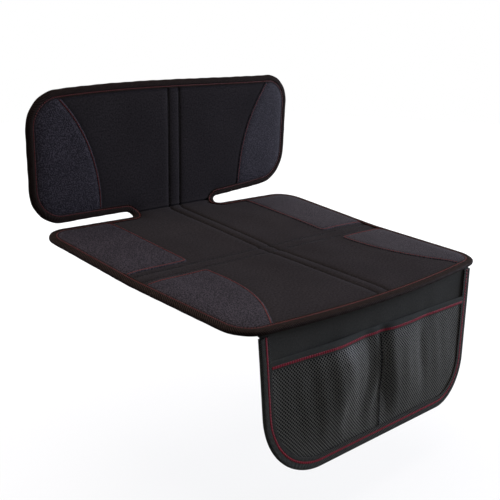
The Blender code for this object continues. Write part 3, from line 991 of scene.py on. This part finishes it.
            def top(flat: Array, border: Array = border) -> Array:
                """Height of the leatherette's face."""
                gap = distance_to(flat, border)
                thick = self.leather_thickness * (0.35 + 0.65 * (1.0 - np.exp(-gap / (0.45 * MM))))
                return self.upper(flat) + thick + 0.3 * MM * bell(gap - 1.2 * MM, 0.9 * MM)

            def under(flat: Array) -> Array:
                """Height of the leatherette's back."""
                return self.upper(flat) - 0.1 * MM

            piece = Piece(f"leatherette_{name}", self.leather, self.form.lay)
            piece = piece.slab(outline, inner, under, top)
            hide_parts(name)

    def build_binding(self) -> None:
        """The tape folded round the mat's edge: full at the outside, drawn down along its thread row."""
        width, row = self.form.binding_width / MM, self.form.row_inset / MM
        turns = np.radians(np.arange(-90.0, 91.0, 20.0))
        rim = [(2.4 * (1.0 - math.cos(t)), 3.7 + 2.7 * math.sin(t)) for t in turns]
        reach = np.array([4.0, 5.5, 7.0, 8.0, 8.7, 9.1, 9.5, 9.9, 10.3, 11.0, 11.5, 11.8])
        rise = np.sin(np.minimum(1.0, reach / 8.0) * math.pi / 2) - bell(reach - row, 1.2)
        top = np.stack([reach, self.tape_face / MM + rise], axis=1)
        inner = [(width, 6.2), (row, 5.2), (4.0, 5.2), (2.2, 3.7), (4.0, 2.0), (row, 1.5)]
        foot = [(width, 0.9), (width, -0.1), (10.4, 0.0), (row, 0.5), (8.6, 0.0), (5.5, 0.4)]
        section = np.vstack([rim, top, inner, foot]) * MM
        path = self.form.outline(3 * MM)
        along = np.arange(len(path)) * 3 * MM * 2 * math.pi
        ripple = np.sin(along / (23 * MM)) + 0.7 * np.sin(along / (61 * MM) + 1.0)
        sections = np.repeat(section[None], len(path), axis=0)
        free = np.clip(1.0 - section[:, 0] / self.form.binding_width, 0.0, 1.0)
        sections[:, :, 0] += 0.16 * MM * ripple[:, None] * free
        tape = Piece("edge_binding", self.tape, self.form.lay).swept(path, sections, closed=True)
        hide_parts("mat_binding")

    def build_rows(self) -> None:
        """The thread rows: red along the binding and the panels, black in the channels and underneath."""
        lay = self.form.lay
        ring = moved_left(self.form.outline(2 * MM), self.form.row_inset, closed=True)
        ring = np.vstack([ring, ring[:1]])
        row = Piece("binding_stitches", self.binding_thread, lay)
        row = row.stitched([ring], flat_at(self.tape_face), self.bold_stitch)
        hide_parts("mat_edge_stitching")

        def on_panel(flat: Array) -> Array:
            """Height of the leatherette along its row."""
            return self.upper(flat) + self.leather_thickness

        for (area, side), path in self.rows.items():
            piece = Piece(f"{area.value}_panel_stitches_{side.name.lower()}", self.thread, lay)
            piece = piece.stitched([path], on_panel, self.stitch)
            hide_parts(f"{area.value}_panel_stitching_{side.name.lower()}")
        low, high, half = self.edge[:, 1].min(), self.edge[:, 1].max(), self.form.back_width / 2
        lines = [[(x, low), (x, high)] for x in self.channels]
        lines += [[(-half, s), (half, s)] for s in self.folds]
        lines = [self.within(np.array(line)) for line in lines]
        dark = Piece("channel_stitches", self.dark_thread, lay).stitched(lines, self.upper, self.stitch)
        rows = [ring, *self.rows.values(), *lines]
        back = Piece("underside_stitches", self.dark_thread, lay)
        back = back.stitched(rows, flat_at(self.under_groove), self.stitch, facing=-1)

    def build(self) -> None:
        """Builds every piece of the mat."""
        self.build_pad()
        self.build_panels()
        self.build_binding()
        self.build_rows()


# The front flap


# how far the slack net stands out between the divider (0) and the flap's binding (1)
LEFT_FOLDS = ((0, 0), (0.04, 0.3), (0.09, 0.22), (0.15, 0.08), (0.43, 1.05), (0.52, 0.98), (0.76, 0.38),
              (1, 0))
RIGHT_FOLDS = ((0, 0), (0.05, 0.46), (0.12, 0.84), (0.32, 0.72), (0.52, 0.16), (0.64, 0.24), (1, 0))


def eased(values: Array, points: Sequence[tuple[float, float]]) -> Array:
    """A smooth curve through points.

    Args:
        values: Where to read the curve.
        points: Places and heights, in order.

    Returns:
        The curve's height at each value.
    """
    places, heights = np.array(points).T
    fine = np.linspace(places[0], places[-1], 201)
    blur = bell(np.linspace(-2.0, 2.0, 25), 1.0)
    padded = np.pad(np.interp(fine, places, heights), len(blur) // 2, mode="edge")
    return np.interp(values, fine, np.convolve(padded, blur / blur.sum(), "valid"))


@dataclass(frozen=True)
class FlapPattern:
    """The front flap as it is cut, and how it hangs: the same values as the CAD solids."""

    mat: MatPattern
    setback: float = 0.002
    top_width: float = 0.4175
    bottom_width: float = 0.391
    drop: float = 0.180
    left_radius: float = 0.092
    right_radius: float = 0.067
    cloth: float = 0.0010
    lap: float = 0.012
    clearance: float = 0.0003
    bend_radius: float = 0.0015
    binding_width: float = 0.015
    row_inset: float = 0.009
    net: float = 0.0006
    pocket_top: float = 0.0335
    pocket_bulge: float = 0.0145
    pocket_mouth: float = 0.20
    divider: float = 0.008
    hem_width: float = 0.011
    hem_row: float = 0.0075
    dip: float = 0.005
    sway: float = 0.037
    ripple: float = 0.5 * MM
    ripple_length: float = 0.027

    def half(self, u: Array) -> Array:
        """Half the flap's width, u up from its bend."""
        share = np.clip(-u / self.drop, 0.0, 1.0)
        return (self.top_width + (self.bottom_width - self.top_width) * share) / 2

    def hang(self, flat: Array, depth: Array) -> Array:
        """Hangs the pattern from the mat's front edge.

        Args:
            flat: Points (x, u), with u up from the bend; above 0 lies under the mat.
            depth: How far each stands out from the flap's rear face.

        Returns:
            Their places.
        """
        x, u = flat[:, 0], flat[:, 1]
        _, y0, z0, slope, _ = self.mat.stations()[0]
        bend = y0 + self.setback + self.bend_radius
        top = z0 + (bend - y0) * math.tan(slope)
        top -= (self.bend_radius + self.cloth + self.clearance) / math.cos(slope)
        out = x / (self.top_width / 2)
        down = np.minimum(u, 0.0)
        dip = self.dip * out * np.minimum(1.0, -down / self.pocket_top)
        angle = np.clip(u / self.bend_radius, 0.0, math.pi / 2 - slope)
        run = np.maximum(0.0, u - angle * self.bend_radius)
        radius = self.bend_radius + depth
        y = bend - radius * np.cos(angle) + run * math.cos(slope)
        z = top + radius * np.sin(angle) + run * math.sin(slope) + down - dip
        return np.stack([x - self.sway * down * (1.0 - out**2), y, z], axis=1)

    def reach(self, x: Array, u: Array, inset: float) -> Array:
        """How far out the flap's outline, moved inwards, lies at a height.

        Args:
            x: Places whose sign picks the side.
            u: Heights.
            inset: How far the outline is moved inwards.

        Returns:
            The distance from the middle.
        """
        corner = np.where(x > 0.0, self.right_radius, self.left_radius)
        lean = math.atan2((self.top_width - self.bottom_width) / 2, self.drop)
        radius, level = corner - inset, corner - self.drop
        centre = self.bottom_width / 2 - corner * math.tan((math.pi / 2 - lean) / 2)
        bent = centre + np.sqrt(np.maximum(0.0, radius**2 - (level - u) ** 2))
        return np.where(u < level - radius * math.sin(lean), bent, self.half(u) - inset / math.cos(lean))

    def right_reach(self, u: float, inset: float) -> float:
        """The same distance at one height on the right."""
        return float(self.reach(np.array(1.0), np.array(u), inset))

    def outline(self, top: float, step: float) -> Array:
        """The flap's sides and lower edge.

        Args:
            top: How far up they go from the bend.
            step: Distance between points.

        Returns:
            Their points, from the upper left to the upper right.
        """
        half, low = float(self.half(np.array(top))), self.bottom_width / 2
        corners = [(-half, top, 0.0), (-low, -self.drop, self.left_radius)]
        corners += [(low, -self.drop, self.right_radius), (half, top, 0.0)]
        return resampled(rounded(corners), step)

    def bulge(self, flat: Array) -> Array:
        """How far the pockets' net stands out, with its slack gathered in upright folds.

        Args:
            flat: Points (x, u).

        Returns:
            The distance at each.
        """
        x, u = flat[:, 0], flat[:, 1]
        bottom, seam = self.binding_width - self.drop, self.divider / 2
        reach = self.reach(x, np.maximum(u, bottom), self.binding_width)
        across = np.clip((np.abs(x) - seam) / (reach - seam), 0.0, 1.0)
        down = np.clip((-self.pocket_top - u) / (-self.pocket_top - bottom), 0.0, 1.0)
        fall = self.pocket_mouth + (1.0 - self.pocket_mouth) * np.sin(math.pi * down**0.8)
        lean = np.clip(across + 0.06 * np.sin(down * 5.0), 0.0, 1.0)
        shape = np.where(x > 0.0, eased(lean, RIGHT_FOLDS), eased(lean, LEFT_FOLDS))
        swell = fall * np.sqrt(1.0 - down**3) * np.minimum(shape, 4.0 * (1.0 - across))
        ripple = np.sin((x + 0.15 * u) * 2 * math.pi / self.ripple_length) * np.sin(math.pi * across)
        ripple *= down * (1.0 - down) * 3.0
        return np.maximum(0.0, self.pocket_bulge * swell + self.ripple * ripple)


@dataclass
class FrontFlap:
    """The flap's cloth, its net pockets with their hem, its binding and its sewn rows."""

    form: FlapPattern
    cloth: Material
    # near-black copy of the cloth that paints the shade behind the pockets' net
    shade_behind_net: Material
    net: Material
    hem: Material
    tape: Material
    thread: Material
    dark_thread: Material
    # the real net's holes are about half as wide; drawn coarser so that they show
    cell: float = 2.2 * MM
    hole: float = 0.72
    seam_margin: float = 6 * MM
    flutter: float = 0.5 * MM
    flutter_span: float = 0.05
    still_top: float = 0.04
    still_side: float = 0.03
    stitch: StitchSize = StitchSize(3.6 * MM, 3.5 * MM, 1.4 * MM, 0.15 * MM, 0.5)
    hem_stitch: StitchSize = StitchSize(3.6 * MM, 3.6 * MM, 1.8 * MM, 0.15 * MM, 0.4)
    seam_stitch: StitchSize = StitchSize(3.4 * MM, 3.2 * MM, 0.7 * MM, 0.15 * MM)

    def __post_init__(self) -> None:
        """Works out the edge of the cloth inside its binding."""
        self.edge = moved_left(self.form.outline(self.form.lap, 4 * MM), 1.2 * MM)

    def puff(self, flat: Array, depth: Array) -> Array:
        """The place of a layer that follows the pockets' net."""
        return self.form.hang(flat, depth + self.form.bulge(flat))

    def back(self, flat: Array) -> Array:
        """The depth of the cloth's rear face, which waves a little as it hangs.

        Args:
            flat: Points (x, u).

        Returns:
            The depth at each.
        """
        free = np.clip(-flat[:, 1] / self.still_top, 0.0, 1.0)
        free *= np.clip((self.form.half(flat[:, 1]) - np.abs(flat[:, 0])) / self.still_side, 0.0, 1.0)
        return -self.flutter * free * (1.0 + waves(flat * (1.0, 0.25), self.flutter_span, seed=5))

    def build_cloth(self) -> Object:
        """The flap's cloth, with its upper margin turned under the mat.

        Returns:
            The object.
        """
        form = self.form
        ring = np.vstack([self.edge, resampled(self.edge[[-1, 0]], 4 * MM)[1:-1]])
        lower, bend = np.arange(-form.drop, -2 * MM, 4 * MM), np.arange(-1, 3.2, 0.6) * MM
        side = form.top_width / 2 + 1.25 * MM
        grid = lattice(np.arange(-side, side, 4 * MM), np.concatenate([lower, bend, [6 * MM, 9 * MM]]))
        grid = grid[inside(grid, ring) & (distance_to(grid, ring, closed=True) > 1.5 * MM)]
        piece = Piece("flap_cloth", self.cloth, form.hang)
        piece = piece.slab(ring, grid, self.back, lambda flat: self.back(flat) + form.cloth)
        self.paint_shade_behind_net(piece)
        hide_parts("front_flap")
        return piece

    def paint_shade_behind_net(self, piece: Object) -> None:
        """Paints shade on the cloth's front behind the net: a near-black copy of the cloth on its forward
        faces below the hem.

        Args:
            piece: The flap's cloth.
        """
        data = piece.data
        data.materials.append(self.shade_behind_net)
        places = np.zeros(2 * len(data.loops))
        data.uv_layers["pattern"].data.foreach_get("uv", places)
        level = -self.form.pocket_top - self.form.hem_width / 2
        for face in data.polygons:
            lowered = all(places[2 * corner + 1] < level for corner in face.loop_indices)
            # forward faces below the hem take the painted shade
            face.material_index = int(lowered and face.normal.y < -0.5)

    def declare(self) -> None:
        """Works out the size that the flap's cloth and the net were cut to; the result is not used.
        """
        form, margin = self.form, self.seam_margin
        cut = (2 * form.right_reach(-form.pocket_top, margin), form.drop - form.pocket_top - margin)

    def build_net(self) -> Object:
        """The net: crossing slanted strands with a diamond hole in each cell.

        Returns:
            The object.
        """
        form, cell = self.form, self.cell
        wide = round(0.2 / cell)
        i, j = lattice(np.arange(-wide, wide + 1), np.arange(-round(form.drop / cell), 0)).T
        centre = np.stack([i, j], axis=1) * cell
        keep = ((i + j) % 2 == 1) & (centre[:, 1] < -form.pocket_top - 2 * MM)
        keep &= centre[:, 1] > self.seam_margin - form.drop
        keep &= np.abs(centre[:, 0]) < form.reach(centre[:, 0], centre[:, 1], self.seam_margin)
        centre, i, j = centre[keep], i[keep], j[keep]
        ways = np.array([(1, 0), (0, 1), (-1, 0), (0, -1)])
        corners = np.stack([i[:, None] + ways[:, 0], j[:, None] + ways[:, 1]], axis=2).reshape(-1, 2)
        junctions, which = np.unique(corners, axis=0, return_inverse=True)
        which = which.reshape(-1, 4)
        flat = np.vstack([junctions * cell, (centre[:, None] + ways * cell * self.hole).reshape(-1, 2)])
        depth = np.full(len(flat), form.cloth + 0.4 * MM)
        depth[:len(junctions)] += 0.15 * MM
        first = len(junctions) + 4 * np.arange(len(centre))
        pairs = [(k, (k + 1) % 4) for k in range(4)]
        sides = [(which[:, k], which[:, m], first + m, first + k) for k, m in pairs]
        faces = np.vstack([np.stack(side, axis=1) for side in sides])
        piece = Piece("pocket_net", self.net, self.puff).mesh(self.puff(flat, depth), faces.tolist(), flat)
        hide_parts("mesh_pockets")
        return piece

    def build_hem(self) -> Object:
        """The doubled strip along the pockets' mouths.

        Returns:
            The object.
        """
        form = self.form
        shape = [(0.0, 0.1), (0.4, 0.75), (1.2, 1.0), (3.0, 1.0), (5.5, 0.95), (6.7, 0.85), (7.5, 0.55)]
        shape += [(8.3, 0.85), (9.8, 0.95), (10.7, 0.7), (11.0, 0.1), (11.0, 0.0), (5.5, 0.0), (0.0, 0.0)]
        down, thick = np.array(shape).T
        reach = form.right_reach(-form.pocket_top, form.binding_width - 1 * MM)
        xs = np.linspace(-reach, reach, 150)
        flat = lattice(-form.pocket_top - down * MM, xs)[:, ::-1]
        depth = form.cloth + form.net + 1.4 * MM * np.tile(thick, len(xs))
        faces = tube(len(xs), len(down), closed=False)
        piece = Piece("pocket_hem_strip", self.hem, self.puff).mesh(self.puff(flat, depth), faces, flat)
        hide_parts("pocket_hem")
        return piece

    def build_binding(self) -> Object:
        """The tape folded round the flap's sides and lower edge.

        Returns:
            The object.
        """
        form = self.form
        width, row = form.binding_width / MM, form.row_inset / MM
        rear, front = -1.1, 3.2
        middle = (rear + front) / 2
        turns = np.radians(np.arange(-90, 91, 30))
        rim = [(1.8 * (1 - math.cos(t)), middle + (front - middle) * math.sin(t)) for t in turns]
        reach = np.array([4, 6, 7.4, 8.2, 9, 9.8, 10.8, 13, 14.5, 15])
        face = np.stack([reach, front - 0.7 * bell(reach - row, 1.0) - 0.25 * reach / width], axis=1)
        inner = [(width, front - 1.3), (3.0, front - 1.3), (2.0, rear + 0.9), (width, rear + 0.9)]
        foot = [(width, rear), (row, rear + 0.3), (6.0, rear)]
        section = np.vstack([rim, face, inner, foot]) * MM
        path = form.outline(-form.bend_radius, 3 * MM)
        tape = Piece("flap_edge_binding", self.tape, form.hang).swept(path, section, closed=False)
        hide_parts("flap_binding")
        return tape

    def build_rows(self) -> tuple[Object, Object, Object]:
        """The thread rows: red along the binding and the hem, black down the divider.

        Returns:
            The rows of the binding, the hem and the divider.
        """
        form = self.form
        path = moved_left(form.outline(-form.bend_radius, 2 * MM), form.row_inset)
        row = Piece("flap_binding_stitches", self.thread, form.hang)
        row = row.stitched([path], flat_at(2.4 * MM), self.stitch)
        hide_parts("flap_edge_stitching")
        face = form.cloth + form.net
        level = -form.pocket_top - form.hem_row
        reach = form.right_reach(level, form.binding_width)
        hem = Piece("hem_stitches", self.thread, self.puff)
        line = np.array([(-reach, level), (reach, level)])
        hem = hem.stitched([line], flat_at(face + 0.8 * MM), self.hem_stitch)
        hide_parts("pocket_hem_stitching")
        line = np.array([(0.0, -form.pocket_top - form.hem_width), (0.0, form.binding_width - form.drop)])
        seam = Piece("divider_stitches", self.dark_thread, self.puff)
        seam = seam.stitched([line], flat_at(face + 0.3 * MM), self.seam_stitch)
        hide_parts("pocket_divider_stitching")
        return row, hem, seam

    def build(self) -> None:
        """Builds every piece of the flap."""
        cloth, net = self.build_cloth(), self.build_net()
        hem, binding = self.build_hem(), self.build_binding()
        row, hem_row, seam = self.build_rows()
        self.declare()


# The studio


@dataclass
class Studio:
    """Camera, floor, soft lamps and white surroundings."""

    eye: tuple[float, float, float] = (-0.77944, -0.80940, 0.22987)
    azimuth: float = math.radians(-45.973)
    elevation: float = math.radians(12.802)
    focal_pixels: float = 820.96
    frame_pixels: float = 500.0
    sensor: float = 36.0
    floor_level: float = -0.30
    floor_reach: float = 6.0
    surround: float = 0.11
    aim: tuple[float, float, float] = (0.0, -0.05, 0.0)

    def stand(self, thing: Object, place: Sequence[float], way: Vector) -> None:
        """Puts a camera or a lamp in its place.

        Args:
            thing: The camera or lamp.
            place: Where it stands.
            way: The way to behind it.
        """
        thing.location = place
        thing.rotation_mode = "QUATERNION"
        thing.rotation_quaternion = way.to_track_quat("Z", "Y")
        bpy.context.scene.collection.objects.link(thing)

    def build_camera(self) -> None:
        """The camera at the photograph's place and angle."""
        data = bpy.data.cameras.new("camera")
        data.sensor_width = self.sensor
        data.lens = self.focal_pixels / self.frame_pixels * self.sensor
        camera = bpy.data.objects.new("camera", data)
        a, e = self.azimuth, self.elevation
        back = Vector((math.sin(a) * math.cos(e), -math.cos(a) * math.cos(e), math.sin(e)))
        self.stand(camera, self.eye, back)
        bpy.context.scene.camera = camera

    def build_lamp(self, name: str, place: Sequence[float], size: float, power: float, colour: str) -> None:
        """A soft square lamp aimed at the mat.

        Args:
            name: Its name.
            place: Where it stands.
            size: Length of its side.
            power: Its power in watts.
            colour: Its colour as sRGB hex.
        """
        data = bpy.data.lights.new(name, "AREA")
        data.size = size
        data.energy = power
        data.color = linear(colour)[:3]
        self.stand(bpy.data.objects.new(name, data), place, Vector(place) - Vector(self.aim))

    @staticmethod
    def seen(tree: NodeTree) -> Node:
        """Adds the nodes for what the camera sees directly, in gloss or through glass.

        Args:
            tree: The node tree.

        Returns:
            The node that gives 1 for that and 0 for the rest.
        """
        rays = add(tree, "ShaderNodeLightPath").outputs
        either = {0: rays["Is Camera Ray"], 1: rays["Is Glossy Ray"]}
        either = {0: add(tree, MATH, {"operation": "MAXIMUM"}, either), 1: rays["Is Transmission Ray"]}
        return add(tree, MATH, {"operation": "MAXIMUM"}, either)

    def build_world(self) -> None:
        """White surroundings that light the mat evenly."""
        world = bpy.data.worlds.new("surroundings")
        bpy.context.scene.world = world
        world.use_nodes = True
        tree = world.node_tree
        tree.nodes.clear()
        light = add(tree, "ShaderNodeBackground", {"Color": linear("#d8e4ff"), "Strength": self.surround})
        white = add(tree, "ShaderNodeBackground", {"Color": linear("#ffffff"), "Strength": 1.0})
        mix = add(tree, "ShaderNodeMixShader", links={0: self.seen(tree), 1: light, 2: white})
        add(tree, "ShaderNodeOutputWorld", links={0: mix})

    def build_floor(self) -> None:
        """A pale floor that keeps the mat's shadow."""
        data = bpy.data.meshes.new("floor")
        far, level = self.floor_reach, self.floor_level
        corners = [(x * far, y * far, level) for x, y in ((-1, -1), (1, -1), (1, 1), (-1, 1))]
        data.from_pydata(corners, [], [(0, 1, 2, 3)])
        floor = bpy.data.objects.new("floor", data)
        bpy.context.scene.collection.objects.link(floor)
        material, tree, shader = new_material("matt_white_floor")
        shader.inputs["Base Color"].default_value = linear("#5e5e5e")
        shader.inputs["Roughness"].default_value = 0.9
        shader.inputs["Emission Color"].default_value = linear("#ffffff")
        place = add(tree, "ShaderNodeTexCoord").outputs["Object"]
        spot = add(tree, "ShaderNodeVectorMath", {"operation": "LENGTH"}, {0: place})
        span = {"From Min": 0.5, "From Max": 1.6, "To Min": 0.83, "To Max": 1.0}
        white = add(tree, "ShaderNodeMapRange", span, {0: spot.outputs[1]})
        glow = add(tree, MATH, {"operation": "MULTIPLY"}, {0: self.seen(tree), 1: white})
        tree.links.new(glow.outputs[0], shader.inputs["Emission Strength"])
        data.materials.append(material)

    def build(self) -> None:
        """Sets up the camera, the lamps and the surroundings."""
        bpy.context.scene.view_settings.view_transform = "Standard"
        self.build_camera()
        self.build_world()
        self.build_floor()
        self.build_lamp("overhead_lamp", (0.0, 0.0, 2.6), 2.4, 60.0, "#fff2e8")
        self.build_lamp("side_lamp", (3.1, -1.0, 0.5), 1.1, 165.0, "#dfe7ff")
        self.build_lamp("rear_lamp", (-1.4, 3.0, 1.4), 1.8, 90.0, "#f6f4ff")


def main() -> None:
    """Builds the studio and the mat."""
    logging.basicConfig(level=logging.INFO, format="%(message)s")
    Studio().build()
    cloth = WovenPolyester().material()
    leather = GrainedLeatherette().material()
    tape = RibbedTape().material()
    thread = SewingThread().material()
    dark_thread = SewingThread("black_sewing_thread", "#0e0d0d", "#1b1819").material()
    rust_thread = SewingThread("rust_sewing_thread", "#3f1817", "#622a27").material()
    mat = MatPattern()
    PaddedMat(mat, cloth, leather, tape, thread, rust_thread, dark_thread).build()
    flap_cloth, shade_behind_net, hem = (
        WovenPolyester(name, dark, light, 0.8, yarn=0.8 * MM).material()
        for name, dark, light in (
            ("flap_polyester", "#3a3935", "#58564f"),
            # painted shade: near-black cloth that stands for the shade behind the net
            ("painted_shade_behind_net", "#151514", "#262625"),
            ("hem_polyester", "#3a3a37", "#56564f"),
        )
    )
    net = NetYarn().material()
    flap_tape = RibbedTape("flap_tape", "#232321", "#62615b").material()
    flap_thread = SewingThread("crimson_sewing_thread", "#6a1c26", "#a0323f").material()
    FrontFlap(FlapPattern(mat), flap_cloth, shade_behind_net, net, hem, flap_tape, flap_thread, dark_thread).build()


if __name__ == "__main__":
    main()
